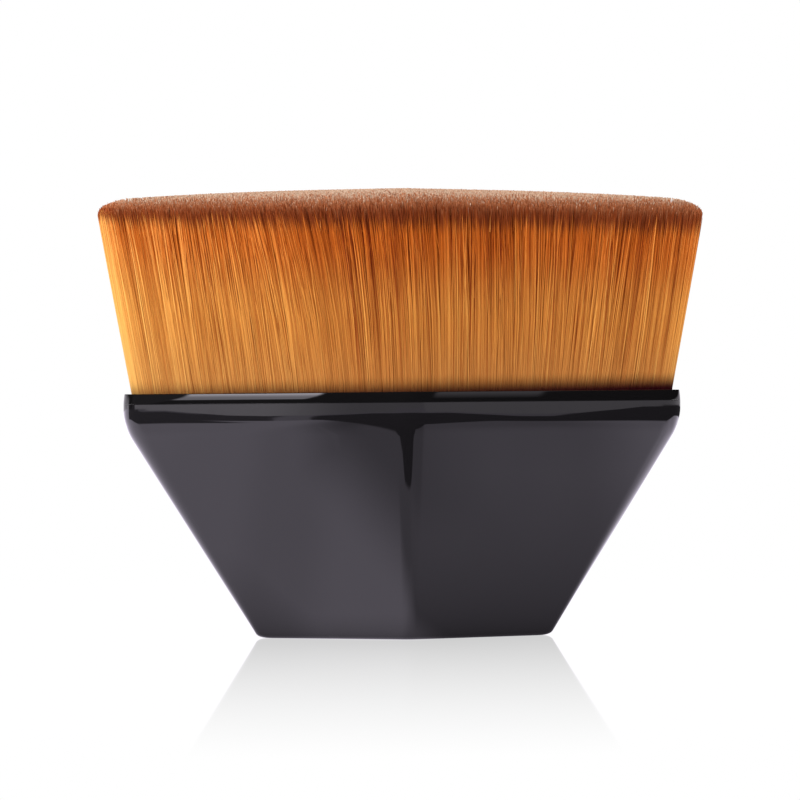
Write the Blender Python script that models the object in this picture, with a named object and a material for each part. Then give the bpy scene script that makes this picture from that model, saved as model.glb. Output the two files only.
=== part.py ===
"""Flat-top foundation brush with a diamond plan: a short tapered handle that stands on its own base,
a shallow ferrule cup pressed into the handle's mouth, and a dense flared bundle of synthetic fibre
with a slightly crowned top.

Metres, +Z up. X is the width and Y the depth. The origin is the centre of the flat base.
"""

import math
import random

import bmesh
import bpy
from mathutils import Matrix, Vector

MM = 0.001

# Plan. Every level of the brush is a diamond with rounded corners: two tips on X, two blunt ridges
# on Y and four straight faces, each at this angle to the X axis.
FACE_ANGLE = math.radians(28.0)
TIP_STEPS = 8
RIDGE_STEPS = 6

# Handle, outside. Half widths are measured at the tips.
BASE_HALF_WIDTH = 14.45 * MM
RIM_HALF_WIDTH = 27.6 * MM
HANDLE_HEIGHT = 23.2 * MM
RIM_BAND_HEIGHT = 2.15 * MM
BASE_TIP_RADIUS = 1.3 * MM
RIM_TIP_RADIUS = 3.0 * MM
BASE_RIDGE_RADIUS = 1.5 * MM
RIM_RIDGE_RADIUS = 2.8 * MM
BASE_EDGE_RADIUS = 0.6 * MM
TURN_RADIUS = 7.5 * MM
RIM_EDGE_RADIUS = 0.12 * MM
BASE_EDGE_STEPS = 4
TURN_STEPS = 8
SMALL_EDGE_STEPS = 3

# Handle, inside. The mouth is a socket for the ferrule, and the wall is thicker below its ledge.
HANDLE_WALL = 1.9 * MM
SOCKET_WALL = 0.75 * MM
SOCKET_DEPTH = 5.0 * MM
FLOOR_THICKNESS = 2.2 * MM
LEAST_CORNER_RADIUS = 0.6 * MM
RIB_THICKNESS = 0.9 * MM
RIB_RELIEF = 0.1 * MM
BOSS_RADIUS = 2.5 * MM
BOSS_RELIEF = 0.6 * MM
BOSS_SPACING = 14.0 * MM
BOSS_COUNT = 2
BOSS_STEPS = 20
BORE_SPARE_DEPTH = 0.8 * MM

# Fits. The seam gap is between walls that slide together, and the joint gap between faces that seat.
JOINT_GAP = 0.25 * MM
SEAM_GAP = 0.15 * MM
CUT_OVERRUN = 2.0 * MM

# Ferrule: a cup with a flange that covers the handle's rim and a mouth that opens out.
FERRULE_WALL = 0.6 * MM
FERRULE_FLOOR = 1.0 * MM
FLANGE_HEIGHT = 0.85 * MM
FLANGE_LAND = 0.75 * MM
FLANGE_DRAFT = 0.1 * MM
FLANGE_EDGE_RADIUS = 0.14 * MM
MOUTH_DEPTH = 0.9 * MM
PEG_RADIUS = 1.3 * MM
PEG_LENGTH = 8.0 * MM
PEG_CLEARANCE = 0.2 * MM
PEG_STEPS = 16
KEY_HOLE_RADIUS = 1.1 * MM
KEY_HOLE_STEPS = 12
KEY_COLUMN_SPACING = 11.0 * MM
KEY_ROW_SPACING = 9.2 * MM
KEY_COLUMN_COUNT = 3
KEY_ROW_COUNT = 2

# Resin that binds the bristle roots into the ferrule. It locks through the holes in its floor.
RESIN_THICKNESS = 1.75 * MM
KEY_HEAD_OVERLAP = 0.35 * MM
KEY_HEAD_THICKNESS = 0.5 * MM

# Bristle bundle.
ROOT_SLICE_THICKNESS = 1.0 * MM
BRUSH_HEIGHT = 44.3 * MM
BRUSH_TOP_HALF_WIDTH = 30.1 * MM
CROWN_HEIGHT = 1.0 * MM
SHOULDER_DROP = 1.1 * MM
SHOULDER_POWER = 12
STRAND_RING_COUNT = 10
STRAND_GAP = 0.26 * MM
STRAND_WANDER = 0.1 * MM
TIP_SCATTER = 0.1 * MM
STRAND_SEED = 7

SHARP_EDGE_ANGLE = math.radians(35.0)


class Outline:
    """One level's diamond: how far its faces lie from the axis, and its corner radii."""

    def __init__(self, face_offset, tip_radius, ridge_radius):
        self.face_offset = face_offset
        self.tip_radius = tip_radius
        self.ridge_radius = ridge_radius

    @classmethod
    def from_half_width(cls, half_width, tip_radius, ridge_radius):
        tip_loss = tip_radius * (1 / math.sin(FACE_ANGLE) - 1)
        return cls((half_width + tip_loss) * math.sin(FACE_ANGLE), tip_radius, ridge_radius)

    def half_width(self):
        tip_loss = self.tip_radius * (1 / math.sin(FACE_ANGLE) - 1)
        return self.face_offset / math.sin(FACE_ANGLE) - tip_loss

    def inset(self, distance):
        """The outline that lies this far inside."""
        return Outline(
            self.face_offset - distance,
            max(self.tip_radius - distance, LEAST_CORNER_RADIUS),
            max(self.ridge_radius - distance, LEAST_CORNER_RADIUS),
        )

    def points(self):
        """The outline anticlockwise, from the start of the +X tip's arc."""
        tip_reach = (self.face_offset - self.tip_radius) / math.sin(FACE_ANGLE)
        ridge_reach = (self.face_offset - self.ridge_radius) / math.cos(FACE_ANGLE)
        tip_turn = math.pi / 2 - FACE_ANGLE
        found = []
        for quarter in range(4):
            on_tip = quarter % 2 == 0
            reach = tip_reach if on_tip else ridge_reach
            radius = self.tip_radius if on_tip else self.ridge_radius
            half_turn = tip_turn if on_tip else FACE_ANGLE
            steps = TIP_STEPS if on_tip else RIDGE_STEPS
            heading = quarter * math.pi / 2
            centre = reach * Vector((math.cos(heading), math.sin(heading)))
            for step in range(steps + 1):
                angle = heading + half_turn * (2 * step / steps - 1)
                found.append(centre + radius * Vector((math.cos(angle), math.sin(angle))))
        return found

    def at_height(self, height):
        return [Vector((p.x, p.y, height)) for p in self.points()]


# Levels and outlines that several pieces share.
SLOPE_TOP = HANDLE_HEIGHT - RIM_BAND_HEIGHT
LEDGE_HEIGHT = HANDLE_HEIGHT - SOCKET_DEPTH
BASE_OUTLINE = Outline.from_half_width(BASE_HALF_WIDTH, BASE_TIP_RADIUS, BASE_RIDGE_RADIUS)
RIM_OUTLINE = Outline.from_half_width(RIM_HALF_WIDTH, RIM_TIP_RADIUS, RIM_RIDGE_RADIUS)
FERRULE_BOTTOM = LEDGE_HEIGHT + JOINT_GAP
FERRULE_FLOOR_TOP = FERRULE_BOTTOM + FERRULE_FLOOR
FLANGE_BOTTOM = HANDLE_HEIGHT + SEAM_GAP
FLANGE_TOP = FLANGE_BOTTOM + FLANGE_HEIGHT
RESIN_BOTTOM = FERRULE_FLOOR_TOP + JOINT_GAP
RESIN_TOP = RESIN_BOTTOM + RESIN_THICKNESS
ROOT_BOTTOM = RESIN_TOP + JOINT_GAP
ROOT_TOP = ROOT_BOTTOM + ROOT_SLICE_THICKNESS


def spaced(count, spacing):
    """Places in a row about zero."""
    return [(i - (count - 1) / 2) * spacing for i in range(count)]


BOSS_PLACES = [(x, 0.0) for x in spaced(BOSS_COUNT, BOSS_SPACING)]
KEY_PLACES = [
    (x, y)
    for x in spaced(KEY_COLUMN_COUNT, KEY_COLUMN_SPACING)
    for y in spaced(KEY_ROW_COUNT, KEY_ROW_SPACING)
]


def outside_at(height):
    """The handle's outline at a height, before its edges are rounded."""
    share = min(height / SLOPE_TOP, 1.0)

    def between(low, high):
        return low + (high - low) * share

    return Outline(
        between(BASE_OUTLINE.face_offset, RIM_OUTLINE.face_offset),
        between(BASE_OUTLINE.tip_radius, RIM_OUTLINE.tip_radius),
        between(BASE_OUTLINE.ridge_radius, RIM_OUTLINE.ridge_radius),
    )


def level_inside(height, distance):
    """The points of a level that lies inside the handle's outline by a distance."""
    return outside_at(height).inset(distance).at_height(height)


def rounded_corner(before, corner, after, radius, steps):
    """The arc that rounds a corner of a profile, as points in (face offset, height)."""
    back = (before - corner).normalized()
    ahead = (after - corner).normalized()
    half_angle = back.angle(ahead) / 2
    centre = corner + (back + ahead).normalized() * radius / math.sin(half_angle)
    start = corner + back * radius / math.tan(half_angle) - centre
    end = corner + ahead * radius / math.tan(half_angle) - centre
    turn = math.atan2(start.cross(end), start.dot(end))
    return [centre + Matrix.Rotation(turn * step / steps, 2) @ start for step in range(steps + 1)]


def plastic(name, colour, roughness):
    material = bpy.data.materials.new(name)
    material.use_nodes = True
    shader = material.node_tree.nodes["Principled BSDF"]
    shader.inputs["Base Color"].default_value = (*colour, 1.0)
    shader.inputs["Roughness"].default_value = roughness
    shader.inputs["Metallic"].default_value = 0.0
    material.diffuse_color = (*colour, 1.0)
    return material


def mesh_object(name, work, material=None):
    """The bmesh as an object whose faces point out."""
    bmesh.ops.recalc_face_normals(work, faces=work.faces)
    mesh = bpy.data.meshes.new(name)
    work.to_mesh(mesh)
    work.free()
    obj = bpy.data.objects.new(name, mesh)
    bpy.context.scene.collection.objects.link(obj)
    if material:
        mesh.materials.append(material)
    return obj


def loft(name, levels, material=None):
    """A solid skinned over levels of equally many points, and capped at both ends."""
    work = bmesh.new()
    rows = [[work.verts.new(point) for point in level] for level in levels]
    for low, high in zip(rows, rows[1:]):
        for i in range(len(low)):
            j = (i + 1) % len(low)
            work.faces.new((low[i], low[j], high[j], high[i]))
    work.faces.new(reversed(rows[0]))
    work.faces.new(rows[-1])
    return mesh_object(name, work, material)


def cylinder(name, place, radius, low, high, steps):
    work = bmesh.new()
    made = bmesh.ops.create_cone(
        work, cap_ends=True, segments=steps, radius1=radius, radius2=radius, depth=high - low
    )
    middle = Vector((place[0], place[1], (low + high) / 2))
    bmesh.ops.translate(work, verts=made["verts"], vec=middle)
    return mesh_object(name, work)


def box(name, low, high):
    work = bmesh.new()
    made = bmesh.ops.create_cube(work, size=1.0)
    size = Vector(high) - Vector(low)
    bmesh.ops.scale(work, verts=made["verts"], vec=size)
    bmesh.ops.translate(work, verts=made["verts"], vec=Vector(low) + size / 2)
    return mesh_object(name, work)


def combine(target, helper, operation):
    """Adds or cuts a helper shape, which is hidden because it isn't a piece of the brush."""
    helper.hide_render = True
    helper.display_type = "WIRE"
    modifier = target.modifiers.new(helper.name, "BOOLEAN")
    modifier.operation = operation
    modifier.solver = "EXACT"
    modifier.object = helper


def shade(obj):
    obj.data.shade_smooth()
    obj.data.set_sharp_from_angle(angle=SHARP_EDGE_ANGLE)


def handle_outside():
    """The handle's outer levels: a flat base, sloped faces, a rounded turn and an upright rim band."""
    base_centre = Vector((0.0, 0.0))
    base_edge = Vector((BASE_OUTLINE.face_offset, 0.0))
    slope_end = Vector((RIM_OUTLINE.face_offset, SLOPE_TOP))
    rim_edge = Vector((RIM_OUTLINE.face_offset, HANDLE_HEIGHT))
    rim_inside = Vector((0.0, HANDLE_HEIGHT))
    profile = rounded_corner(base_centre, base_edge, slope_end, BASE_EDGE_RADIUS, BASE_EDGE_STEPS)
    profile += rounded_corner(base_edge, slope_end, rim_edge, TURN_RADIUS, TURN_STEPS)
    profile += rounded_corner(slope_end, rim_edge, rim_inside, RIM_EDGE_RADIUS, SMALL_EDGE_STEPS)
    levels = []
    for face_offset, height in profile:
        level = outside_at(height)
        level.face_offset = face_offset
        levels.append(level.at_height(height))
    return levels


def handle_cavity():
    """The hollow in the handle, with the wider socket above the ledge. Crossed ribs and two bosses
    are left standing in it."""
    cavity = loft(
        "handle_cavity",
        [
            level_inside(FLOOR_THICKNESS, HANDLE_WALL),
            level_inside(LEDGE_HEIGHT, HANDLE_WALL),
            level_inside(LEDGE_HEIGHT, SOCKET_WALL),
            level_inside(SLOPE_TOP, SOCKET_WALL),
            level_inside(HANDLE_HEIGHT + CUT_OVERRUN, SOCKET_WALL),
        ],
    )
    rib_top = LEDGE_HEIGHT - RIB_RELIEF
    reach = RIM_HALF_WIDTH
    half_rib = RIB_THICKNESS / 2
    ribs = [box("long_rib", (-reach, -half_rib, 0.0), (reach, half_rib, rib_top))]
    for i, (x, _) in enumerate(BOSS_PLACES):
        ribs.append(box(f"cross_rib_{i}", (x - half_rib, -reach, 0.0), (x + half_rib, reach, rib_top)))
    for rib in ribs:
        combine(cavity, rib, "DIFFERENCE")
    for i, place in enumerate(BOSS_PLACES):
        boss = cylinder(f"boss_{i}", place, BOSS_RADIUS, 0.0, LEDGE_HEIGHT - BOSS_RELIEF, BOSS_STEPS)
        combine(cavity, boss, "DIFFERENCE")
    return cavity


def build_handle_shell():
    """Moulded shell. The ferrule seats on its ledge, and its bosses take the ferrule's pegs."""
    gloss_black = plastic("gloss_black", (0.012, 0.011, 0.013), 0.08)
    shell = loft("handle_shell", handle_outside(), gloss_black)
    combine(shell, handle_cavity(), "DIFFERENCE")
    bore_radius = PEG_RADIUS + PEG_CLEARANCE
    bore_bottom = FERRULE_BOTTOM - PEG_LENGTH - BORE_SPARE_DEPTH
    for i, place in enumerate(BOSS_PLACES):
        bore = cylinder(f"boss_bore_{i}", place, bore_radius, bore_bottom, HANDLE_HEIGHT, PEG_STEPS)
        combine(shell, bore, "DIFFERENCE")
    shade(shell)
    return shell


def build_ferrule():
    """Cup with a slightly drafted flange outside, a bell mouth inside, and pegs under its floor."""
    ferrule_black = plastic("ferrule_black", (0.01, 0.01, 0.011), 0.06)
    skirt_inset = SOCKET_WALL + SEAM_GAP
    throat_inset = skirt_inset + FERRULE_WALL
    skirt_top = Vector((RIM_OUTLINE.face_offset - skirt_inset, FLANGE_BOTTOM))
    flange_foot = Vector((RIM_OUTLINE.face_offset, FLANGE_BOTTOM))
    flange_brow = Vector((RIM_OUTLINE.face_offset - FLANGE_DRAFT, FLANGE_TOP))
    mouth_edge = Vector((RIM_OUTLINE.face_offset - FLANGE_LAND, FLANGE_TOP))
    edge = (FLANGE_EDGE_RADIUS, SMALL_EDGE_STEPS)
    flange = rounded_corner(skirt_top, flange_foot, flange_brow, *edge)
    flange += rounded_corner(flange_foot, flange_brow, mouth_edge, *edge)
    flange.append(mouth_edge)
    levels = [
        level_inside(FERRULE_BOTTOM, skirt_inset),
        level_inside(SLOPE_TOP, skirt_inset),
        level_inside(FLANGE_BOTTOM, skirt_inset),
    ]
    for face_offset, height in flange:
        levels.append(level_inside(height, RIM_OUTLINE.face_offset - face_offset))
    levels.append(level_inside(FLANGE_TOP - MOUTH_DEPTH, throat_inset))
    levels.append(level_inside(SLOPE_TOP, throat_inset))
    levels.append(level_inside(FERRULE_FLOOR_TOP, throat_inset))
    ferrule = loft("ferrule", levels, ferrule_black)
    peg_root = FERRULE_BOTTOM + FERRULE_FLOOR / 2
    for i, place in enumerate(BOSS_PLACES):
        peg = cylinder(f"peg_{i}", place, PEG_RADIUS, FERRULE_BOTTOM - PEG_LENGTH, peg_root, PEG_STEPS)
        combine(ferrule, peg, "UNION")
    low = FERRULE_BOTTOM - CUT_OVERRUN
    high = FERRULE_FLOOR_TOP + CUT_OVERRUN
    for i, place in enumerate(KEY_PLACES):
        hole = cylinder(f"key_hole_{i}", place, KEY_HOLE_RADIUS, low, high, KEY_HOLE_STEPS)
        combine(ferrule, hole, "DIFFERENCE")
    shade(ferrule)
    return ferrule


def build_root_resin():
    """Cured resin in the ferrule. Its keys pass through the floor's holes and spread below them."""
    amber_resin = plastic("amber_resin", (0.55, 0.36, 0.14), 0.25)
    side_inset = SOCKET_WALL + SEAM_GAP + FERRULE_WALL + SEAM_GAP
    heights = (RESIN_BOTTOM, SLOPE_TOP, RESIN_TOP)
    resin = loft("root_resin", [level_inside(height, side_inset) for height in heights], amber_resin)
    stem_radius = KEY_HOLE_RADIUS - SEAM_GAP
    stem_top = RESIN_BOTTOM + RESIN_THICKNESS / 2
    head_radius = KEY_HOLE_RADIUS + KEY_HEAD_OVERLAP
    head_top = FERRULE_BOTTOM - SEAM_GAP
    head_bottom = head_top - KEY_HEAD_THICKNESS
    stem_bottom = head_top - KEY_HEAD_THICKNESS / 2
    for i, place in enumerate(KEY_PLACES):
        stem = cylinder(f"key_stem_{i}", place, stem_radius, stem_bottom, stem_top, KEY_HOLE_STEPS)
        head = cylinder(f"key_head_{i}", place, head_radius, head_bottom, head_top, KEY_HOLE_STEPS)
        combine(resin, stem, "UNION")
        combine(resin, head, "UNION")
    shade(resin)
    return resin


def along(path, share):
    """The point at a share of a path's length."""
    lengths = [(b - a).length for a, b in zip(path, path[1:])]
    left = share * sum(lengths)
    for a, b, length in zip(path, path[1:], lengths):
        if left <= length:
            return a.lerp(b, left / length)
        left -= length
    return path[-1]


def quarter_paths(outline):
    """The outline's four quarters, each from one corner's middle to the next, from the +X tip on."""
    points = outline.points()
    middles = []
    passed = 0
    for quarter in range(4):
        steps = TIP_STEPS if quarter % 2 == 0 else RIDGE_STEPS
        middles.append(passed + steps // 2)
        passed += steps + 1
    points = points[middles[0] :] + points[: middles[0] + 1]
    cuts = [middle - middles[0] for middle in middles] + [len(points) - 1]
    return [points[low : high + 1] for low, high in zip(cuts, cuts[1:])]


def cell_corner(column, row, quarters):
    """Where a corner of the strands' grid lies. The grid's square rings lie about the axis, and each
    is the bundle's own outline made smaller."""
    ring = max(abs(column), abs(row))
    if ring == 0:
        return Vector((0.0, 0.0))
    if column == ring:
        quarter, step = 0, row + ring
    elif row == ring:
        quarter, step = 1, ring - column
    elif column == -ring:
        quarter, step = 2, ring - row
    else:
        quarter, step = 3, column + ring
    return along(quarters[quarter], step / (2 * ring)) * ring / STRAND_RING_COUNT


def tip_height(ring_share):
    """How high the trimmed fibre ends, from the axis (0) to the edge of the bundle (1)."""
    crown = CROWN_HEIGHT * ring_share**2
    shoulder = SHOULDER_DROP * ring_share**SHOULDER_POWER
    return BRUSH_HEIGHT - crown - shoulder


def build_bristle_bundle():
    """Four-sided strands that fan out from the slice of resin that binds their roots."""
    golden_fibre = plastic("golden_fibre", (0.56, 0.24, 0.045), 0.4)
    chance = random.Random(STRAND_SEED)
    root = RIM_OUTLINE.inset(SOCKET_WALL + SEAM_GAP + FERRULE_WALL + SEAM_GAP)
    flare = BRUSH_TOP_HALF_WIDTH / (root.half_width() - STRAND_GAP / 2)
    quarters = quarter_paths(root)
    span = range(-STRAND_RING_COUNT, STRAND_RING_COUNT + 1)
    work = bmesh.new()
    corners = {}
    ring_shares = {}
    for column in span:
        for row in span:
            place = cell_corner(column, row, quarters)
            ring = max(abs(column), abs(row))
            if ring < STRAND_RING_COUNT:
                turn = chance.uniform(0.0, math.tau)
                drift = chance.uniform(0.0, STRAND_WANDER)
                place += drift * Vector((math.cos(turn), math.sin(turn)))
            corners[column, row] = work.verts.new((place.x, place.y, ROOT_TOP))
            ring_shares[column, row] = ring / STRAND_RING_COUNT
    cells = []
    shares = []
    for column in span[:-1]:
        for row in span[:-1]:
            keys = ((column, row), (column + 1, row), (column + 1, row + 1), (column, row + 1))
            cells.append(work.faces.new([corners[key] for key in keys]))
            shares.append([ring_shares[key] for key in keys])
    side = bmesh.ops.extrude_edge_only(work, edges=[e for e in work.edges if e.is_boundary])
    lowered = [item for item in side["geom"] if isinstance(item, bmesh.types.BMVert)]
    bmesh.ops.translate(work, verts=lowered, vec=(0.0, 0.0, -ROOT_SLICE_THICKNESS))
    bmesh.ops.holes_fill(work, edges=[e for e in work.edges if e.is_boundary])
    bmesh.ops.inset_individual(work, faces=cells, thickness=STRAND_GAP / 2, use_even_offset=True)
    tips = bmesh.ops.extrude_discrete_faces(work, faces=cells)["faces"]
    for tip, tip_shares in zip(tips, shares):
        uneven = chance.uniform(-TIP_SCATTER, TIP_SCATTER)
        for vert, share in zip(tip.verts, tip_shares):
            vert.co.x *= flare
            vert.co.y *= flare
            vert.co.z = tip_height(share) + uneven
    return mesh_object("bristle_bundle", work, golden_fibre)


def main():
    for obj in list(bpy.data.objects):
        bpy.data.objects.remove(obj, do_unlink=True)
    build_handle_shell()
    build_ferrule()
    build_root_resin()
    build_bristle_bundle()


main()
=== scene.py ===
import math

import bpy
import numpy as np
from mathutils import Matrix, Vector


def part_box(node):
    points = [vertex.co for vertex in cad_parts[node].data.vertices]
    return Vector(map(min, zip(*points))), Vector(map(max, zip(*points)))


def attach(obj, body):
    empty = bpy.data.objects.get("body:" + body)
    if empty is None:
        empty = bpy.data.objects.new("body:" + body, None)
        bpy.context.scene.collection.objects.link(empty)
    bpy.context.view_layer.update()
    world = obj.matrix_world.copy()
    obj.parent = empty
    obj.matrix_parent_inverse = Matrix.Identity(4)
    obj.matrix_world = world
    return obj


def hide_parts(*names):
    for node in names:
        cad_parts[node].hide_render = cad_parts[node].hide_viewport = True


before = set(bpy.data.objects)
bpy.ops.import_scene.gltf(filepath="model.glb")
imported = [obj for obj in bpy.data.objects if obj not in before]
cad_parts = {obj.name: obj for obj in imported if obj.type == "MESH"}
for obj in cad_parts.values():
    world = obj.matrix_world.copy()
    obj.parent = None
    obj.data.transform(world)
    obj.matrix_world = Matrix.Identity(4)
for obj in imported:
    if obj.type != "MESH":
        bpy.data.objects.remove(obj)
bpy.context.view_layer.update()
MM = 0.001

# Handle shell
# A cup of gloss black plastic, injection moulded in one shot, so it has no seam. Its plan is a
# diamond with rounded corners that widens from a flat base to an upright band at the rim. The
# ferrule is pressed and glued into its mouth.

FACE_ANGLE = math.radians(28.0)
FACE_SHARES = (0.01, 0.04, 0.1, 0.2, 0.35, 0.5, 0.65, 0.8, 0.9, 0.96, 0.99)
CORNER_STEPS = 28
BASE_EDGE_STEPS = 8
TURN_STEPS = 20
RIM_EDGE_STEPS = 4
SHARP_ANGLE = math.radians(50.0)


class Outline:
    """A diamond with rounded corners: its faces' distance from the axis, and its corner radii."""

    def __init__(self, face_offset, tip_radius, ridge_radius):
        self.face_offset = face_offset
        self.tip_radius = tip_radius
        self.ridge_radius = ridge_radius

    @classmethod
    def from_half_width(cls, half_width, tip_radius, ridge_radius):
        tip_loss = tip_radius * (1 / math.sin(FACE_ANGLE) - 1)
        return cls((half_width + tip_loss) * math.sin(FACE_ANGLE), tip_radius, ridge_radius)

    def towards(self, other, share):
        return Outline(
            self.face_offset + (other.face_offset - self.face_offset) * share,
            self.tip_radius + (other.tip_radius - self.tip_radius) * share,
            self.ridge_radius + (other.ridge_radius - self.ridge_radius) * share,
        )

    def inset(self, distance):
        least_radius = 0.3 * MM
        return Outline(
            self.face_offset - distance,
            max(self.tip_radius - distance, least_radius),
            max(self.ridge_radius - distance, least_radius),
        )

    def points(self):
        """The outline anticlockwise from the +X tip's arc, each corner's arc and then a face."""
        tip_reach = (self.face_offset - self.tip_radius) / math.sin(FACE_ANGLE)
        ridge_reach = (self.face_offset - self.ridge_radius) / math.cos(FACE_ANGLE)
        arcs = []
        for quarter in range(4):
            on_tip = quarter % 2 == 0
            reach = tip_reach if on_tip else ridge_reach
            radius = self.tip_radius if on_tip else self.ridge_radius
            half_turn = math.pi / 2 - FACE_ANGLE if on_tip else FACE_ANGLE
            heading = quarter * math.pi / 2
            angles = heading + half_turn * np.linspace(-1, 1, CORNER_STEPS + 1)
            centre = reach * np.array([math.cos(heading), math.sin(heading)])
            arcs.append(centre + radius * np.stack([np.cos(angles), np.sin(angles)], 1))
        found = []
        for arc, following in zip(arcs, arcs[1:] + arcs[:1]):
            found.append(arc)
            share = np.array(FACE_SHARES)[:, None]
            found.append(arc[-1] * (1 - share) + following[0] * share)
        return np.concatenate(found)


def by_place(at_tip, at_face, at_ridge):
    """One value for each outline point: one on the tips' arcs, one on the ridges', and one at the
    middle of the faces, with smooth steps between them."""
    corner_spread = 1.3
    face = np.array(FACE_SHARES)
    blend = np.minimum(corner_spread * np.abs(2 * face - 1), 1.0) ** 2
    corner = np.where(face < 0.5, at_tip, at_ridge)
    there = at_face + (corner - at_face) * blend
    on_tip = np.full(CORNER_STEPS + 1, at_tip)
    on_ridge = np.full(CORNER_STEPS + 1, at_ridge)
    return np.tile(np.concatenate([on_tip, there, on_ridge, there[::-1]]), 2)


def rounded_corner(before, corner, after, radius, steps):
    """The arc that rounds a corner of a profile, as points in (face offset, height)."""
    back = (before - corner).normalized()
    ahead = (after - corner).normalized()
    half_angle = back.angle(ahead) / 2
    centre = corner + (back + ahead).normalized() * radius / math.sin(half_angle)
    start = corner + back * radius / math.tan(half_angle) - centre
    end = corner + ahead * radius / math.tan(half_angle) - centre
    turn = math.atan2(start.cross(end), start.dot(end))
    return [centre + Matrix.Rotation(turn * step / steps, 2) @ start for step in range(steps + 1)]


def object_of(name, verts, faces, material):
    mesh = bpy.data.meshes.new(name)
    mesh.from_pydata([tuple(v) for v in verts], [], faces)
    mesh.materials.append(material)
    mesh.shade_smooth()
    obj = bpy.data.objects.new(name, mesh)
    bpy.context.scene.collection.objects.link(obj)
    return obj


def loft(name, levels, material):
    """A smooth solid skinned over levels of equally many points, and capped at both ends. Its wide
    faces keep their own normals, so that only the arcs beside them look round."""
    levels = np.array(levels)
    count, around = levels.shape[:2]
    faces = []
    for low in range(count - 1):
        for i in range(around):
            j = (i + 1) % around
            a = low * around
            b = a + around
            faces.append((a + i, a + j, b + j, b + i))
    faces.append(tuple(reversed(range(around))))
    faces.append(tuple(range((count - 1) * around, count * around)))
    obj = object_of(name, levels.reshape(-1, 3), faces, material)
    obj.data.set_sharp_from_angle(angle=SHARP_ANGLE)
    weighted = obj.modifiers.new("weighted_normals", "WEIGHTED_NORMAL")
    weighted.keep_sharp = True
    return obj


class Value:
    """A shader value that Python's operators work on."""

    def __init__(self, socket):
        self.socket = socket

    @staticmethod
    def make(tree, kind, inputs=(), output=0, **settings):
        """Any node, with its inputs in order or by name, and the value of one of its outputs."""
        node = tree.nodes.new(kind)
        for key, setting in settings.items():
            setattr(node, key, setting)
        for key, value in inputs.items() if isinstance(inputs, dict) else enumerate(inputs):
            feed(node.inputs[key], value)
        return Value(node.outputs[output])

    def then(self, kind, inputs=(), output=0, **settings):
        """Any node that takes this value as its first input."""
        made = Value.make(self.socket.id_data, kind, inputs, output, **settings)
        feed(made.socket.node.inputs[0], self)
        return made

    def maths(self, operation, *values):
        return Value.make(self.socket.id_data, "ShaderNodeMath", values, operation=operation)

    def __add__(self, other):
        return self.maths("ADD", self, other)

    def __radd__(self, other):
        return self.maths("ADD", other, self)

    def __sub__(self, other):
        return self.maths("SUBTRACT", self, other)

    def __rsub__(self, other):
        return self.maths("SUBTRACT", other, self)

    def __mul__(self, other):
        return self.maths("MULTIPLY", self, other)

    def __rmul__(self, other):
        return self.maths("MULTIPLY", other, self)

    def __truediv__(self, other):
        return self.maths("DIVIDE", self, other)

    def __rtruediv__(self, other):
        return self.maths("DIVIDE", other, self)

    def __pow__(self, other):
        return self.maths("POWER", self, other)

    def __abs__(self):
        return self.maths("ABSOLUTE", self)

    def least(self, other):
        return self.maths("MINIMUM", self, other)

    def most(self, other):
        return self.maths("MAXIMUM", self, other)

    def rise(self, low, high):
        """0 below low, 1 above high, and a smooth step between."""
        limits = {"From Min": low, "From Max": high}
        return self.then("ShaderNodeMapRange", limits, interpolation_type="SMOOTHSTEP")

    def between(self, low, high):
        """A colour mixed from low to high by this value. The Mix node has its colours after the
        numbers and the vectors."""
        return self.then("ShaderNodeMix", {6: low, 7: high}, output=2, data_type="RGBA")

    def noise(self, scale, detail=2.0):
        """Noise at this point, from 0 to 1."""
        grain = {"Scale": scale, "Detail": detail}
        return self.then("ShaderNodeTexNoise", grain, noise_dimensions="3D")

    def parts(self):
        """The three parts of a vector."""
        first = self.then("ShaderNodeSeparateXYZ")
        return [Value(socket) for socket in first.socket.node.outputs]


def feed(socket, value):
    if isinstance(value, Value):
        socket.id_data.links.new(value.socket, socket)
    elif value is not None:
        socket.default_value = value


def colour(red, green, blue):
    return (red, green, blue, 1.0)


def new_material(name):
    """A material, its node tree and its Principled shader."""
    material = bpy.data.materials.new(name)
    material.use_nodes = True
    return material, material.node_tree, material.node_tree.nodes["Principled BSDF"]


def gloss_black(name, tint, roughness):
    """Polished black moulded plastic: slow waves and a fine haze from the mould's polish."""
    material, tree, shader = new_material(name)
    place = Value.make(tree, "ShaderNodeNewGeometry")
    haze = place.noise(900.0, detail=3.0)
    cloud = place.noise(60.0)
    wave = place.noise(35.0, detail=1.0)
    bump = Value.make(
        tree, "ShaderNodeBump", {"Strength": 0.05, "Distance": 0.02 * MM, "Height": wave}
    )
    paler = colour(*(1.4 * part for part in tint[:3]))
    feed(shader.inputs["Base Color"], cloud.rise(0.3, 0.8).between(tint, paler))
    feed(shader.inputs["Roughness"], roughness * (1.0 + 0.6 * haze.rise(0.45, 0.8)))
    feed(shader.inputs["Normal"], bump)
    shader.inputs["IOR"].default_value = 1.5
    return material


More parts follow.
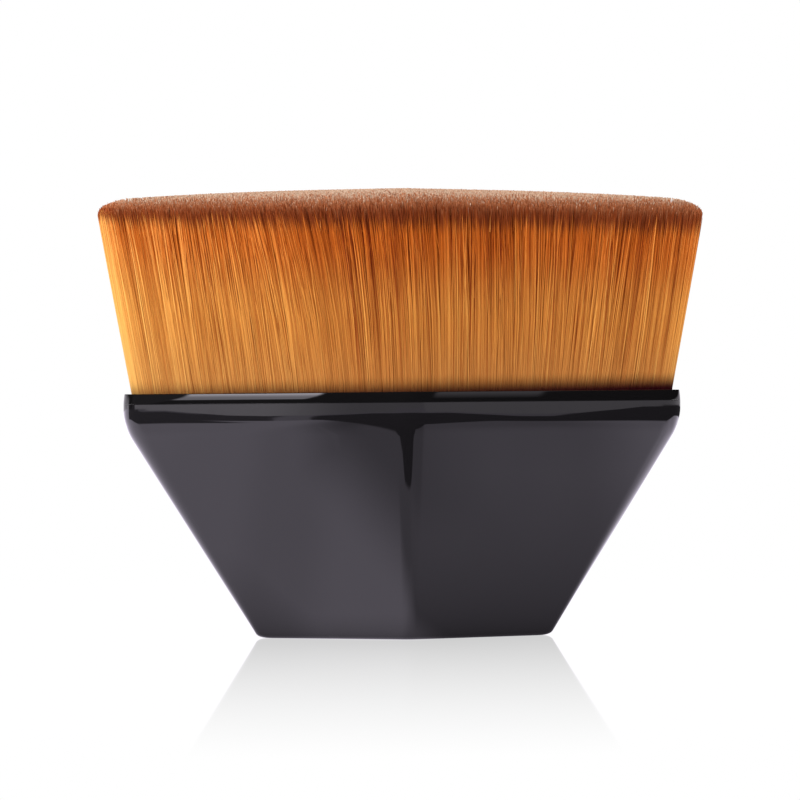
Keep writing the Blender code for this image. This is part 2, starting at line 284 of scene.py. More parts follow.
shell_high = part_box("handle_shell")[1]
rim_half_width = shell_high[0]
rim_tip_radius = 3.0 * MM
rim_ridge_radius = 2.8 * MM
rim_band_height = 2.15 * MM
rim_edge_radius = 0.02 * MM
edge_hold = 0.06 * MM
base_half_width = 14.45 * MM
base_tip_radius = 1.3 * MM
base_ridge_radius = 1.5 * MM
base_edge_radius = 0.6 * MM
face_turn_radius = 5.5 * MM
tip_turn_radius = 9.3 * MM
ridge_turn_radius = 7.4 * MM
handle_height = shell_high[2]
handle_wall = 1.9 * MM
socket_wall = 0.75 * MM
socket_depth = 5.0 * MM
floor_thickness = 2.2 * MM
slope_top = handle_height - rim_band_height
ledge_height = handle_height - socket_depth
base_outline = Outline.from_half_width(base_half_width, base_tip_radius, base_ridge_radius)
rim_outline = Outline.from_half_width(rim_half_width, rim_tip_radius, rim_ridge_radius)


def outside_at(height):
    """The handle's outline at a height, which widens evenly as far as the rim band."""
    return base_outline.towards(rim_outline, min(height / slope_top, 1.0))


def level(outline, height):
    """An outline's points, at a height."""
    points = outline.points()
    return np.column_stack([points, np.full(len(points), height)])


def handle_profile(turn_radius):
    """The outer profile from the base to the rim, for one radius of the turn under the rim band. A
    point held close under the rim's edge keeps the band's shading flat."""
    base_centre = Vector((0.0, 0.0))
    base_edge = Vector((base_outline.face_offset, 0.0))
    slope_end = Vector((rim_outline.face_offset, slope_top))
    rim_edge = Vector((rim_outline.face_offset, handle_height))
    rim_inside = Vector((0.0, handle_height))
    profile = rounded_corner(base_centre, base_edge, slope_end, base_edge_radius, BASE_EDGE_STEPS)
    profile += rounded_corner(base_edge, slope_end, rim_edge, turn_radius, TURN_STEPS)
    profile.append(rim_edge - Vector((0.0, rim_edge_radius + edge_hold)))
    profile += rounded_corner(slope_end, rim_edge, rim_inside, rim_edge_radius, RIM_EDGE_STEPS)
    return profile


def handle_outside():
    """The handle's outer levels. The turn under the rim band is wider at the corners."""
    turn_radii = by_place(tip_turn_radius, face_turn_radius, ridge_turn_radius)
    columns = []
    for number, turn_radius in enumerate(turn_radii):
        column = []
        for face_offset, height in handle_profile(turn_radius):
            outline = outside_at(height)
            outline.face_offset = face_offset
            column.append(level(outline, height)[number])
        columns.append(column)
    return list(np.array(columns).transpose(1, 0, 2))


def handle_inside():
    """The handle's inner levels: down the socket, over the ledge and down the hollow to its floor."""
    return [
        level(rim_outline.inset(socket_wall), handle_height),
        level(rim_outline.inset(socket_wall), slope_top),
        level(outside_at(ledge_height).inset(socket_wall), ledge_height),
        level(outside_at(ledge_height).inset(handle_wall), ledge_height),
        level(outside_at(floor_thickness).inset(handle_wall), floor_thickness),
    ]


handle_black = gloss_black("handle_gloss_black", colour(0.0065, 0.0058, 0.0068), roughness=0.025)
handle = loft("handle_gloss", handle_outside() + handle_inside(), handle_black)
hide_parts("handle_shell")
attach(handle, "root")

# Ferrule
# A shallow gloss black cup that holds the glued bristle roots. Its flange covers the handle's rim
# and leans back slightly, so it mirrors what is overhead, and its mouth opens out for the bristles.

FLANGE_STEPS = 12
FLANGE_EDGE_STEPS = 6
seam_gap = 0.15 * MM
rim_gap = 0.004 * MM
joint_gap = 0.25 * MM
flange_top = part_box("ferrule")[1][2]
flange_bottom = handle_height + rim_gap
flange_height = flange_top - flange_bottom
flange_lean = 0.05 * MM
flange_curl = 0.05 * MM
flange_land = 0.75 * MM
flange_edge_radius = 0.08 * MM
mouth_depth = 0.9 * MM
ferrule_wall = 0.6 * MM
ferrule_floor = 1.0 * MM
ferrule_bottom = ledge_height + joint_gap
skirt_inset = socket_wall + seam_gap
throat_inset = skirt_inset + ferrule_wall


def flange_profile():
    """Up the flange's leaning face, round its upper edge and in over its top to the mouth."""
    offset = rim_outline.face_offset
    face = []
    for share in np.linspace(0.0, 1.0, FLANGE_STEPS + 1):
        back = flange_lean * share + flange_curl * share**2
        face.append(Vector((offset - back, flange_bottom + flange_height * share)))
    brow = face.pop()
    mouth = Vector((offset - flange_land, flange_top))
    face = [point for point in face if point.y < flange_top - flange_edge_radius]
    edge = rounded_corner(face[-1], brow, mouth, flange_edge_radius, FLANGE_EDGE_STEPS)
    return face + edge + [mouth]


def ferrule_levels():
    """The ferrule's levels: up the skirt, over the flange and down inside the cup."""
    skirt = [
        level(outside_at(ferrule_bottom).inset(skirt_inset), ferrule_bottom),
        level(rim_outline.inset(skirt_inset), slope_top),
        level(rim_outline.inset(skirt_inset), flange_bottom),
    ]
    flange = [
        level(rim_outline.inset(rim_outline.face_offset - face_offset), height)
        for face_offset, height in flange_profile()
    ]
    floor_top = ferrule_bottom + ferrule_floor
    cup = [
        level(rim_outline.inset(throat_inset), flange_top - mouth_depth),
        level(rim_outline.inset(throat_inset), slope_top),
        level(outside_at(floor_top).inset(throat_inset), floor_top),
    ]
    return skirt + flange + cup


ferrule_black = gloss_black("ferrule_gloss_black", colour(0.0048, 0.0044, 0.0048), roughness=0.006)
ferrule = loft("ferrule_gloss", ferrule_levels(), ferrule_black)
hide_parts("ferrule")
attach(ferrule, "root")

# Root resin
# Cloudy amber resin, poured round the bristle roots and cured, with keys through the ferrule's
# floor. It is out of sight, and it shows only where the pieces are taken apart.

resin_material, tree, shader = new_material("amber_resin")
place = Value.make(tree, "ShaderNodeNewGeometry")
cloudy = place.noise(250.0, detail=3.0).rise(0.3, 0.7)
amber = cloudy.between(colour(0.42, 0.24, 0.08), colour(0.62, 0.42, 0.18))
ripple = Value.make(
    tree, "ShaderNodeBump", {"Strength": 0.3, "Distance": 0.1 * MM, "Height": place.noise(400.0)}
)
feed(shader.inputs["Base Color"], amber)
feed(shader.inputs["Roughness"], 0.15 + 0.2 * place.noise(600.0))
feed(shader.inputs["Normal"], ripple)
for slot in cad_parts["root_resin"].material_slots:
    slot.material = resin_material

# Bristle core
# The inside of the bundle, where fibres are packed too tight to be seen one by one, and the slice
# of resin that binds them. It stops short of the bundle's sides and top.

CORE_GRAIN = (9000.0, 9000.0, 300.0)
bundle_low, bundle_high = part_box("bristle_bundle")
fibre_radius = 0.045 * MM
root_slice = 1.0 * MM
root_outline = rim_outline.inset(throat_inset + seam_gap)
root_half_width = root_outline.points()[:, 0].max()
mouth_rise = 0.1 * MM
mouth_height = flange_top + mouth_rise
mouth_half_width = 26.6 * MM
mouth_scale = mouth_half_width / root_half_width
crown_height = 1.1 * MM
crown_clearance = 0.12 * MM
top_centre = bundle_high[2] - crown_clearance
top_half_width = bundle_high[0] - 2 * fibre_radius
top_scale = top_half_width / root_half_width
core_share = 0.93
core_rings = (core_share, 0.8, 0.6, 0.4, 0.2)
core_depth = 1.2 * MM
core_dye_start = 38.5 * MM
core_dye_end = 41.5 * MM


def top_height(ring_share):
    """The crowned top's height, from the axis (0) to the edge of the bundle (1)."""
    return top_centre - crown_height * ring_share**2


def core_levels():
    """The core's levels: the slice of resin, the ferrule's mouth, and in rings over the top."""
    plan = root_outline.points()
    steps = [
        (1.0, bundle_low[2]),
        (1.0, bundle_low[2] + root_slice),
        (core_share * mouth_scale, mouth_height),
    ]
    steps += [(ring * top_scale, top_height(ring) - core_depth) for ring in core_rings]
    return [np.column_stack([plan * scale, np.full(len(plan), z)]) for scale, z in steps]


core_material, tree, shader = new_material("bristle_core")
place = Value.make(tree, "ShaderNodeNewGeometry")
height = place.parts()[2]
stretched = place.then("ShaderNodeVectorMath", {1: CORE_GRAIN}, operation="MULTIPLY")
grain = stretched.noise(1.0).rise(0.3, 0.7)
golden = grain.between(colour(0.50, 0.12, 0.012), colour(0.70, 0.24, 0.035))
brown = grain.between(colour(0.12, 0.022, 0.006), colour(0.22, 0.05, 0.016))
core_colour = height.rise(core_dye_start, core_dye_end).between(golden, brown)
feed(shader.inputs["Base Color"], core_colour)
shader.inputs["Roughness"].default_value = 0.7
core = loft("bristle_core", core_levels(), core_material)
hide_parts("bristle_bundle")
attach(core, "root")

# Bristle fibres
# Fine tapered synthetic fibres, golden orange with dyed brown tips, glued at the roots and trimmed
# to a slightly crowned top. They fan out from the ferrule's mouth and gather in loose clumps. Those
# at the sides are whole, and inside the bundle only their upper ends are made.

SIDE_FIBRES = 20000
EDGE_FIBRES = 1600
TOP_FIBRES = 44000
FIBRE_SEED = 11
SMALL_CLUMPS = 190
SMALL_CLUMP_SEED = 1
BIG_CLUMPS = 47
BIG_CLUMP_SEED = 2
CLUMP_TONE_SEED = 5
CLUMP_TONES = 400
BIG_CLUMP_START = 200
LAYERS = 3
LAYER_TURN = 0.37
STRAY_SHARE = 0.09
DARK_SHARE = 0.17
TRIM_SLOPE = 0.006
SIDE_STEPS = np.array([0.0, 0.13, 0.42, 0.72, 0.93, 1.0])
SIDE_TAPER = np.array([1.0, 1.0, 1.0, 0.95, 0.8, 0.5])
TOP_TAPER = np.array([1.0, 0.85])
root_sink = 0.8 * MM
root_level = flange_top - root_sink
root_depth = 0.4 * MM
side_depth = 1.1 * MM
side_bow = 0.07 * MM
edge_width = 3.0 * MM
edge_drop = 1.45 * MM
edge_scatter = 0.10 * MM
tip_scatter = 0.02 * MM
top_length = 2.4 * MM
top_lean = 0.06 * MM
chance = np.random.default_rng(FIBRE_SEED)


def outline_path(outline):
    """A function from a share of the outline's length, from the +X tip on, to its points, and the
    length of the outline."""
    points = np.roll(outline.points(), -(CORNER_STEPS // 2), axis=0)
    points = np.vstack([points, points[:1]])
    lengths = np.concatenate([[0.0], np.cumsum(np.linalg.norm(np.diff(points, axis=0), axis=1))])
    shares = lengths / lengths[-1]

    def at(share):
        share = np.mod(share, 1.0)
        return np.column_stack([np.interp(share, shares, points[:, k]) for k in (0, 1)])

    return at, lengths[-1]


def loose_wave(share, knots, seed):
    """A smooth random wave round the bundle, from -1 to 1, with this many knots to its turn."""
    values = np.random.default_rng(seed).uniform(-1, 1, knots)
    at = np.mod(share, 1.0) * knots
    low = np.floor(at).astype(int)
    part = at - low
    part = part * part * (3 - 2 * part)
    return values[low % knots] * (1 - part) + values[(low + 1) % knots] * part


def to_clump(share, clumps, seed):
    """How far each fibre lies from the middle of its clump, as a share of the outline, and the
    clump's number."""
    places = np.random.default_rng(seed)
    middles = (np.arange(clumps) + places.uniform(-0.45, 0.45, clumps)) / clumps
    bounds = np.concatenate([[-1.0], (middles[1:] + middles[:-1]) / 2])
    number = np.searchsorted(bounds, np.mod(share, 1.0)) - 1
    return middles[number] - np.mod(share, 1.0), number


def fibre_mesh(name, centres, radii, tones, heights, material):
    """Three-sided fibres along centre lines of equally many points. The map holds each fibre's tone
    across and its height along, which the material reads. Its three edges lie slightly apart."""
    count, along = centres.shape[:2]
    turns = chance.uniform(0, math.tau, count)[:, None] + np.arange(3) * math.tau / 3
    ring = np.stack([np.cos(turns), np.sin(turns), np.zeros_like(turns)], 2)
    verts = centres[:, :, None, :] + ring[:, None, :, :] * radii[:, :, None, None]
    index = np.arange(count * along * 3).reshape(count, along, 3)
    after = np.roll(index, -1, axis=2)
    quads = np.stack([index[:, :-1], after[:, :-1], after[:, 1:], index[:, 1:]], 3).reshape(-1, 4)
    caps = index[:, -1]
    mesh = bpy.data.meshes.new(name)
    mesh.vertices.add(verts.size // 3)
    mesh.vertices.foreach_set("co", verts.astype(np.float32).ravel())
    loops = np.concatenate([quads.ravel(), caps.ravel()])
    mesh.loops.add(len(loops))
    mesh.loops.foreach_set("vertex_index", loops.astype(np.int32))
    starts = np.concatenate([np.arange(len(quads)) * 4, len(quads) * 4 + np.arange(len(caps)) * 3])
    mesh.polygons.add(len(starts))
    mesh.polygons.foreach_set("loop_start", starts.astype(np.int32))
    mesh.update(calc_edges=True)
    mesh.validate()
    across = np.repeat(tones[:, None], along * 3, axis=1).reshape(count, along, 3)
    across = across + (np.arange(3) - 1) / 300
    map_points = np.stack([across, np.repeat(heights[:, :, None], 3, axis=2)], 3).reshape(-1, 2)
    for map_name in ("fibre", "OFBake"):
        layer = mesh.uv_layers.new(name=map_name)
        layer.uv.foreach_set("vector", map_points[loops].astype(np.float32).ravel())
    mesh.materials.append(material)
    mesh.shade_smooth()
    obj = bpy.data.objects.new(name, mesh)
    bpy.context.scene.collection.objects.link(obj)
    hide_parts("bristle_bundle")
    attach(obj, "root")
    return obj


def fibre_material():
    """Colours by tone, dark to pale, and by height, from the roots (0) to the tips (1), with painted
    shade at the roots. The fibres are translucent, and a faint painted glow in their own colour, all
    over them, stands in for light that passes through them into the shade between them."""
    material, tree, shader = new_material("golden_fibre")
    tone, height, _ = Value.make(tree, "ShaderNodeUVMap", uv_map="fibre").parts()
    root = tone.between(colour(0.44, 0.150, 0.030), colour(0.61, 0.262, 0.070))
    middle = tone.between(colour(0.28, 0.044, 0.006), colour(0.91, 0.39, 0.074))
    upper = tone.between(colour(0.14, 0.006, 0.002), colour(0.88, 0.22, 0.022))
    yellow_and_rim_light = colour(1.0, 0.58, 0.16)
    brown = tone.between(colour(0.07, 0.006, 0.001), colour(0.36, 0.075, 0.018))
    tan = tone.between(colour(0.22, 0.060, 0.022), colour(0.58, 0.22, 0.095))
    end = tone.between(colour(0.43, 0.290, 0.200), colour(0.73, 0.525, 0.385))
    body = height.rise(0.0, 0.47).between(root, middle)
    body = height.rise(0.45, 0.86).between(body, upper)
    # Pale fibres turn yellow. At the outline's tips, above all the left one, where the tones are
    # raised, this yellow is a painted rim of light.
    body = tone.rise(0.6, 1.3).between(body, yellow_and_rim_light)
    body = height.rise(0.855, 0.928).between(body, brown)
    body = height.rise(0.94, 0.985).between(body, tan)
    # The pale cut ends are partly their own lighter colour and partly a painted sheen of light on the
    # trimmed top.
    body = height.rise(0.978, 1.006).between(body, end)
    # Painted shade: the roots darken almost to black just above the ferrule's mouth, where it shades
    # them.
    body = height.rise(0.042, 0.144).between(colour(0.033, 0.001, 0.004), body)
    feed(shader.inputs["Base Color"], body)
    # A painted glow: the fibres give off faint light in their own colour.
    feed(shader.inputs["Emission Color"], body)
    feed(shader.inputs["Roughness"], 0.5 - 0.1 * tone)
    shader.inputs["Specular IOR Level"].default_value = 0.06
    shader.inputs["Emission Strength"].default_value = 0.09
    return material


golden_fibre = fibre_material()
path, perimeter = outline_path(root_outline)


def from_tip(share):
    """How far along the outline its nearer tip is, as a share of its length."""
    return np.abs(np.mod(2 * share + 0.5, 1.0) - 0.5) / 2


def depth_at(share, ring):
    """How deep under the bundle's side a point of the top is."""
    step = 0.002
    along = path(share + step) - path(share - step)
    along /= np.linalg.norm(along, axis=1)[:, None]
    points = path(share)
    reach = np.abs(points[:, 0] * along[:, 1] - points[:, 1] * along[:, 0])
    return (1 - ring) * reach * top_scale


def trimmed(share, ring):
    """The height of each fibre's end, and how far the rounded edge lowers it. The top is trimmed
    slightly askew, and less evenly near its edge."""
    inside = np.clip(depth_at(share, ring) / edge_width, 0, 1)
    rounding = edge_drop * (1 - np.sqrt(inside)) ** 1.25
    askew = TRIM_SLOPE * path(share)[:, 0] * ring * top_scale
    scatter = tip_scatter + edge_scatter * (1 - inside)
    ends = top_height(ring) - rounding - askew + scatter * chance.normal(0, 1, len(share))
    return np.minimum(ends, bundle_high[2]), rounding


def dyed(heights, x, tones):
    """The heights that the dye follows. The brown tips are longer on the darker fibres and to the
    right, and shorter to the left. The pale cut end, partly its own colour and partly a painted
    sheen, stays as it is."""
    cut_end = 0.035
    aside = np.clip(x / top_half_width, -1, 1)[:, None]
    aside = np.where(aside < 0, 0.45, -0.25) * aside**2
    shorter = np.exp(0.9 * (tones - 0.5) + chance.normal(0, 0.2, len(x)))[:, None]
    below = 1 - heights
    shift = (0.6 * shorter - 1) * below + aside * shorter * np.maximum(below - cut_end, 0)
    return heights - shift * np.maximum(heights, 0) ** 2


def side_places():
    """Where the whole fibres stand along the outline: evenly all round, and more at its two tips."""
    tip_spread = 0.006
    even = (np.arange(SIDE_FIBRES) + chance.uniform(0, 1, SIDE_FIBRES)) / SIDE_FIBRES
    either_tip = np.where(np.arange(EDGE_FIBRES) % 2 == 0, 0.0, 0.5)
    at_tips = either_tip + chance.normal(0, tip_spread, EDGE_FIBRES)
    return np.mod(np.concatenate([even, at_tips]), 1.0)


def side_shifts(share, depth_share):
    """How far along the outline each fibre's end lies from its root, and the numbers of its small
    and its big clump. Each layer has clumps of its own. A patch on the left of the front leans
    aside, and a few fibres stray."""
    count = len(share)
    layer = (depth_share * LAYERS).astype(int) * LAYER_TURN
    near, small_clump = to_clump(share + layer, SMALL_CLUMPS, SMALL_CLUMP_SEED)
    wide, big_clump = to_clump(share + layer * 2, BIG_CLUMPS, BIG_CLUMP_SEED)
    lean_place = 0.70
    lean_width = 0.09
    jitter = 0.0016
    stray_reach = 0.0055
    lean = -1.7 * np.exp(-(((share - lean_place) / lean_width) ** 2)) * (1 - 0.4 * depth_share)
    slow = loose_wave(share, knots=11, seed=3)
    quick = loose_wave(share + layer, knots=34, seed=4)
    sway = lean + 0.85 * slow + 0.42 * quick
    shift = 0.42 * near + 0.18 * wide + sway * MM / perimeter + chance.normal(0, jitter, count)
    stray = chance.uniform(0, 1, count) < STRAY_SHARE
    shift += np.where(stray, chance.normal(0, stray_reach, count), 0.0)
    return shift, small_clump, big_clump


def side_centres(root_points, tip_points, tip_heights, bow):
    """Centre lines that leave the ferrule's mouth upright and bend outward on their way up."""
    centres = np.zeros((len(root_points), len(SIDE_STEPS), 3))
    for k, step in enumerate(SIDE_STEPS):
        bend = step**1.7
        spread = mouth_scale + (top_scale - mouth_scale) * step
        plan = (root_points * (1 - bend) + tip_points * bend) * spread
        centres[:, k, :2] = plan + bow * 4 * step * (1 - step)
        centres[:, k, 2] = root_level + (tip_heights - root_level) * step
    return centres


def side_tones(small_clump, big_clump, depth_share, left):
    """Each fibre's tone, from dark (0) to pale (1). Clumps differ a little and single fibres more,
    and some are much darker. Deep fibres are darker, a painted shade in the gaps between the outer
    ones, and those towards the outline's tips paler, a painted light that is strongest at the left
    one."""
    count = len(depth_share)
    to_left = np.clip(left, 0, 1)
    to_right = np.clip(-left, 0, 1)
    clump_tone = np.random.default_rng(CLUMP_TONE_SEED).uniform(-1, 1, CLUMP_TONES)
    tones = 0.60 + 0.04 * clump_tone[small_clump] + 0.04 * clump_tone[big_clump + BIG_CLUMP_START]
    uneven = chance.normal(0, 0.2, count) * (1 - 0.4 * to_left)
    # The deep fibres' darkening is painted shade, seen in the gaps between the outer ones.
    tones += np.where(uneven > 0, 0.6, 1.0) * np.minimum(uneven, 0.3) - 0.30 * depth_share
    dark = chance.uniform(0, 1, count) > 1 - DARK_SHARE
    tones -= np.where(dark, chance.uniform(0.12, 0.45, count), 0.0)
    # Painted light: fibres towards the tips, above all the left one, are paler where light falls on
    # them, with a rim of light at the very ends.
    tones += 0.24 * to_left**1.5 + 0.5 * np.clip((to_left - 0.94) / 0.05, 0, 1)
    tones += 0.02 * to_right**2 + 0.15 * np.clip((to_right - 0.95) / 0.05, 0, 1)
    return np.clip(tones, 0.01, 0.99)


def side_fibres():
    """Whole fibres in the outer layers, made as four pieces, from one corner to the next. At the
    outline's tips they don't lean aside."""
    upright_share = 0.03
    share = side_places()
    count = len(share)
    depth_share = chance.uniform(0, 1, count) ** 1.4
    shift, small_clump, big_clump = side_shifts(share, depth_share)
    off_tip = np.clip(from_tip(share) / upright_share, 0, 1)
    root_ring = 1 - root_depth * depth_share / root_outline.face_offset
    tip_ring = 1 - side_depth * depth_share / root_outline.face_offset
    root_points = path(share) * root_ring[:, None]
    tip_points = path(share + shift * off_tip) * tip_ring[:, None]
    tip_heights, rounding = trimmed(share, tip_ring)
    bow = chance.normal(0, side_bow, (count, 2)) * np.maximum(off_tip, 0.2)[:, None]
    centres = side_centres(root_points, tip_points, tip_heights, bow)
    radii = fibre_radius * chance.uniform(0.75, 1.2, count)[:, None] * SIDE_TAPER
    left = np.clip(-root_points[:, 0] / root_half_width, -1, 1)
    tones = side_tones(small_clump, big_clump, depth_share, left)
    whole = tip_heights + rounding - root_level
    heights = dyed(SIDE_STEPS * (1 - rounding / whole)[:, None], tip_points[:, 0], tones)
    # The painted shade at the roots is shorter on the left and longer on the right.
    heights = heights + (0.03 + 0.04 * left)[:, None] * (1 - SIDE_STEPS) ** 6
    heights = heights + chance.normal(0, 0.008, count)[:, None] * SIDE_STEPS**8
    for quarter, name in enumerate(("right_back", "left_back", "left_front", "right_front")):
        mine = (share * 4).astype(int) == quarter
        fibre_mesh(
            f"fibres_{name}", centres[mine], radii[mine], tones[mine], heights[mine], golden_fibre
        )


def top_fibres():
    """The upper ends of the fibres inside the bundle, made as two pieces."""
    outer_ring = 0.99
    spread = 0.012
    share = chance.uniform(0, 1, TOP_FIBRES)
    ring = np.sqrt(chance.uniform(0, 1, TOP_FIBRES)) * outer_ring
    tip_points = path(share) * ring[:, None] * top_scale
    tip_heights, rounding = trimmed(share, ring)
    lean = chance.normal(0, top_lean, (TOP_FIBRES, 2))
    lower_shares = np.array([1.0, 0.0])
    centres = np.zeros((TOP_FIBRES, len(lower_shares), 3))
    for k, lower in enumerate(lower_shares):
        centres[:, k, :2] = tip_points * (1 - spread * lower) - lean * lower
        centres[:, k, 2] = tip_heights - top_length * lower
    radii = 1.3 * fibre_radius * chance.uniform(0.8, 1.1, TOP_FIBRES)[:, None] * TOP_TAPER
    tones = np.clip(0.5 + chance.normal(0, 0.2, TOP_FIBRES), 0.02, 0.98)
    whole = top_height(1.0) - root_level
    below = rounding[:, None] + top_length * lower_shares
    heights = dyed(1 - below / whole, tip_points[:, 0], tones)
    heights = heights + chance.normal(0, 0.01, TOP_FIBRES)[:, None]
    for name, mine in (("front", tip_points[:, 1] < 0), ("back", tip_points[:, 1] >= 0)):
        fibre_mesh(
            f"fibres_top_{name}", centres[mine], radii[mine], tones[mine], heights[mine], golden_fibre
        )


side_fibres()
top_fibres()

# Floor
# A white acrylic sheet. It mirrors the brush faintly near its base. The gloss of the brush mirrors
# the sheet, up to its edges and to the dark gap that the camera stands in. Its sizes are in
# millimetres from the brush's axis.

FLOOR_SIZE = 6.0
IN_MM = 1000.0
BASE_NORMAL_X = 0.469
BASE_NORMAL_Y = 0.883
BASE_OFFSET = 7.4
REFLECTION = 0.409
REFLECTION_REACH = 190.0
REFLECTION_FALL = 1.17
GAP_LIGHT = 0.05
PATCH_LIGHT = 0.80
FAR_LIGHT = 0.62
WHITE = colour(1.0, 1.0, 1.0)
bpy.ops.mesh.primitive_plane_add(size=FLOOR_SIZE, location=(0.0, 0.0, 0.0))
floor = bpy.context.object
floor.name = "floor"
floor_material = bpy.data.materials.new("white_acrylic")
floor_material.use_nodes = True
tree = floor_material.node_tree
tree.nodes.clear()
in_gloss = Value.make(tree, "ShaderNodeLightPath", output="Is Glossy Ray")
place = Value.make(tree, "ShaderNodeNewGeometry")
reach = place.then("ShaderNodeVectorMath", operation="LENGTH", output="Value") * IN_MM
x, y, _ = [part * IN_MM for part in place.parts()]
across = abs(x)
forward = 0.0 - y
outward = across - forward
bearing = across / forward.most(1.0)
off_base = (BASE_NORMAL_X * across + BASE_NORMAL_Y * abs(y) - BASE_OFFSET).most(0.5)
on_right = x.rise(-2.0, 5.0)
behind = (y / reach.most(1.0)).rise(0.3, 0.42) * (1.0 - x.rise(70.0, 85.0))


def by_side(left, right):
    """One value on the left of the brush, and another on its right."""
    return left * (1.0 - on_right) + right * on_right


def left_light():
    """How bright the sheet is in the gloss on the left. It is bright beside the base, with painted
    shade of the brush ahead of it and right at its faces, a paler stretch far to the side and a
    faint dark band."""
    ahead = forward - 0.33 * across - 0.45 * (across - 32.0).most(0.0)
    fade = 4.0 + 10.0 * (across - 0.99 * off_base).rise(8.0, 15.0)
    # Painted shade of the brush on the sheet, ahead of the base.
    light = 1.45 - 0.87 * ahead.rise(10.0, 20.0)
    light = light + 0.25 * across.rise(44.0, 60.0) * (1.0 - forward.rise(12.0, 32.0))
    light = light - 0.18 * outward.rise(2.0, 10.0) * (1.0 - outward.rise(14.0, 21.0))
    # Painted shade: the sheet dims right at the base's faces.
    return light * ((off_base / fade).least(1.0) ** 0.25)


def right_light():
    """How bright the sheet is in the gloss on the right. It has painted shade of the brush right at
    the base and ahead of it, and is brighter far to the side."""
    # Painted shade of the brush on the sheet, ahead of the base.
    light = 0.82 - 0.31 * (1.0 - outward.rise(-10.0, 14.0)) * off_base.rise(14.0, 26.0)
    light = light * (1.0 - 0.25 * off_base.rise(32.0, 60.0))
    light = light * (1.0 + 1.3 * (across - 1.35 * forward).rise(20.0, 50.0))
    # Painted shade: the sheet dims right at the base.
    return light * ((off_base / 26.0).least(1.0) ** 0.35)


def sheet_cover():
    """1 on the sheet, and 0 past its sides and in the gap before it, which comes closest to the
    base in its middle. Behind the brush the sheet goes on without sides."""
    left_edge = (26.0 + 0.5 * across).least(33.5).most(15.0 + 0.65 * across).most(30.5)
    right_edge = 31.0 + (0.2 * x * x).least(20.0) + 0.35 * (across - 66.0).most(0.0)
    streak = 31.0 + 0.055 * (x + 5.0) * (x + 5.0)
    gap = forward - by_side(left_edge, right_edge).least(streak)
    side_edge = 95.0 + 30.0 * forward.rise(60.0, 80.0) * (1.0 - on_right)
    side_edge = side_edge + 40.0 * (1.0 - forward.rise(-40.0, 30.0))
    past_side = ((across - side_edge) / 5.0).rise(-1.0, 1.0) * (1.0 - behind)
    return (1.0 - gap.rise(-0.7, 0.7)) * (1.0 - past_side)


def far_cover():
    """1 on the lit floor beyond the sheet and the gap. How far out it starts changes with the
    bearing, and in some bearings there is none."""
    left_slope = 0.034 - 0.034 * bearing.rise(1.345, 1.395) + 0.028 * bearing.rise(1.43, 1.465)
    left_slope = left_slope * (1.0 - bearing.rise(1.48, 2.4))
    right_slope = (0.034 + 0.045 * bearing.rise(1.64, 1.71)) * (1.0 - bearing.rise(1.775, 1.805))
    slope = by_side(left_slope, right_slope)
    return (reach * slope / 23.5).rise(0.85, 1.15) * (1.0 - behind)


def gap_light():
    """The little light in the gap and past the sides, with one pale patch on the left."""
    nearness = 1.0 / reach.most(1.0)
    patch = (bearing + 8.0 * nearness).rise(1.363, 1.365)
    patch = patch * (1.0 - (bearing - 3.5 * nearness).rise(1.382, 1.384))
    left = GAP_LIGHT + 0.07 * bearing.rise(1.345, 1.41) + PATCH_LIGHT * patch
    return by_side(left, GAP_LIGHT)


sheet_light = by_side(left_light(), right_light()) * sheet_cover()
floor_light = sheet_light.most(gap_light()).most(FAR_LIGHT * far_cover())
strength = 1.0 - in_gloss + in_gloss * floor_light
tint = in_gloss.between(WHITE, colour(1.09, 1.0, 1.2))
white = Value.make(tree, "ShaderNodeEmission", [tint, strength])
mirror = Value.make(tree, "ShaderNodeBsdfGlossy", {"Color": WHITE, "Roughness": 0.0})
nearby = (1.0 - reach / REFLECTION_REACH).most(0.0)
mirrored = REFLECTION * (nearby**REFLECTION_FALL) * (1.0 - in_gloss)
surface = Value.make(tree, "ShaderNodeMixShader", [mirrored, white, mirror])
feed(tree.nodes.new("ShaderNodeOutputMaterial").inputs["Surface"], surface)
floor.data.materials.append(floor_material)

# Light
# A soft white dome, brighter from the left. What the gloss mirrors of it is a low pale wall all
# round, and two lamps above the wall that the flange picks up. Places on the dome are directions
# from the brush.

world = bpy.data.worlds.new("studio")
bpy.context.scene.world = world
world.use_nodes = True
tree = world.node_tree
tree.nodes.clear()
in_gloss = Value.make(tree, "ShaderNodeLightPath", output="Is Glossy Ray")
seen = Value.make(tree, "ShaderNodeLightPath", output="Is Camera Ray")
x, y, z = Value.make(tree, "ShaderNodeTexCoord").parts()
in_front = 1.0 - y.rise(0.0, 0.01)


def pale_wall():
    """The wall, brighter far to the left and slightly so to the right, with a gap on the left.
    Behind the brush, as far as its middle, the wall stands higher."""
    wall = 0.62 + 0.95 * (1.0 - x.rise(-0.814, -0.803)) + 0.16 * x.rise(0.80, 0.87)
    left_gap = (1.0 - x.rise(-0.9, -0.8)) * y.rise(-0.24, -0.16) * (1.0 - y.rise(0.3, 0.42))
    wall = wall * (1.0 - z.rise(0.05, 0.08)) * (1.0 - left_gap)
    backdrop = y.rise(0.3, 0.42) * (1.0 - z.rise(0.08, 0.16)) * (1.0 - x.rise(0.15, 0.3))
    return wall.most(backdrop)


def left_lamp():
    """A narrow slanted lamp that is brightest at its top, and the faint gleam to the left of it."""
    slanted = x - 0.153 * z * z - 0.0668 * z
    past_gleam = slanted.rise(-0.8306, -0.8298)
    lamp = past_gleam * (1.0 - slanted.rise(-0.8171, -0.8163))
    lamp = lamp * z.rise(0.150, 0.165) * (2.5 + 1100.0 * (z - 0.18) * (z - 0.18))
    lamp = lamp * in_front * (1.0 - z.rise(0.29, 0.3))
    return lamp, 0.09 * (1.0 - past_gleam) * in_front


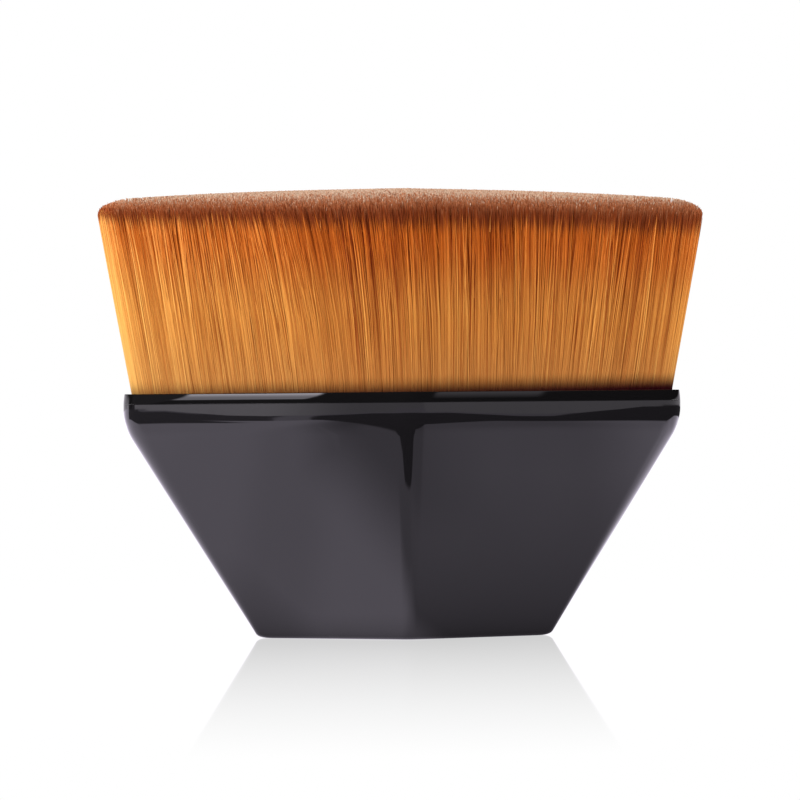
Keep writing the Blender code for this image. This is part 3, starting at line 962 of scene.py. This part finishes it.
def right_lamp():
    """A narrow curved lamp, taller and dimmer than the left one, and faint near its foot."""
    slanted = x + 0.275 * z * z
    lamp = slanted.rise(0.8597, 0.8603) * (1.0 - slanted.rise(0.8688, 0.8698))
    return lamp * (7.9 * (z - 0.137)).most(0.0).least(0.9) * (1.0 - z.rise(0.45, 0.5)) * in_front


bright_lamp, left_gleam = left_lamp()
gloss_light = pale_wall().most(left_gleam) + bright_lamp + right_lamp()
soft_light = 1.7 - 0.7 * x
strength = in_gloss * gloss_light + (1.0 - in_gloss) * (seen + (1.0 - seen) * soft_light)
tint = in_gloss.between(WHITE, colour(1.06, 1.0, 1.10))
background = Value.make(tree, "ShaderNodeBackground", [tint, strength])
feed(tree.nodes.new("ShaderNodeOutputWorld").inputs["Surface"], background)

# Camera
# Level with the rim and a little to the left, with a long lens, as in the photograph.

CAMERA_DISTANCE = 560 * MM
CAMERA_HEIGHT = 23.4 * MM
CAMERA_TURN = math.radians(3.0)
CAMERA_ROLL = math.radians(0.5)
PIXELS_PER_METRE = 10100.0
PICTURE_WIDTH = 800.0
PICTURE_SHIFT = -2.5
SENSOR = 36.0
camera_data = bpy.data.cameras.new("camera")
camera_data.sensor_width = SENSOR
camera_data.lens = SENSOR * PIXELS_PER_METRE * CAMERA_DISTANCE / PICTURE_WIDTH
camera_data.shift_x = PICTURE_SHIFT / PICTURE_WIDTH
camera_data.clip_start = 0.01
camera = bpy.data.objects.new("camera", camera_data)
bpy.context.scene.collection.objects.link(camera)
camera.location = (
    -CAMERA_DISTANCE * math.sin(CAMERA_TURN),
    -CAMERA_DISTANCE * math.cos(CAMERA_TURN),
    CAMERA_HEIGHT,
)
heading = Matrix.Rotation(-CAMERA_TURN, 4, "Z") @ Matrix.Rotation(math.pi / 2, 4, "X")
camera.matrix_world = (
    Matrix.Translation(camera.location) @ heading @ Matrix.Rotation(-CAMERA_ROLL, 4, "Z")
)
bpy.context.scene.camera = camera
bpy.context.scene.view_settings.view_transform = "Standard"
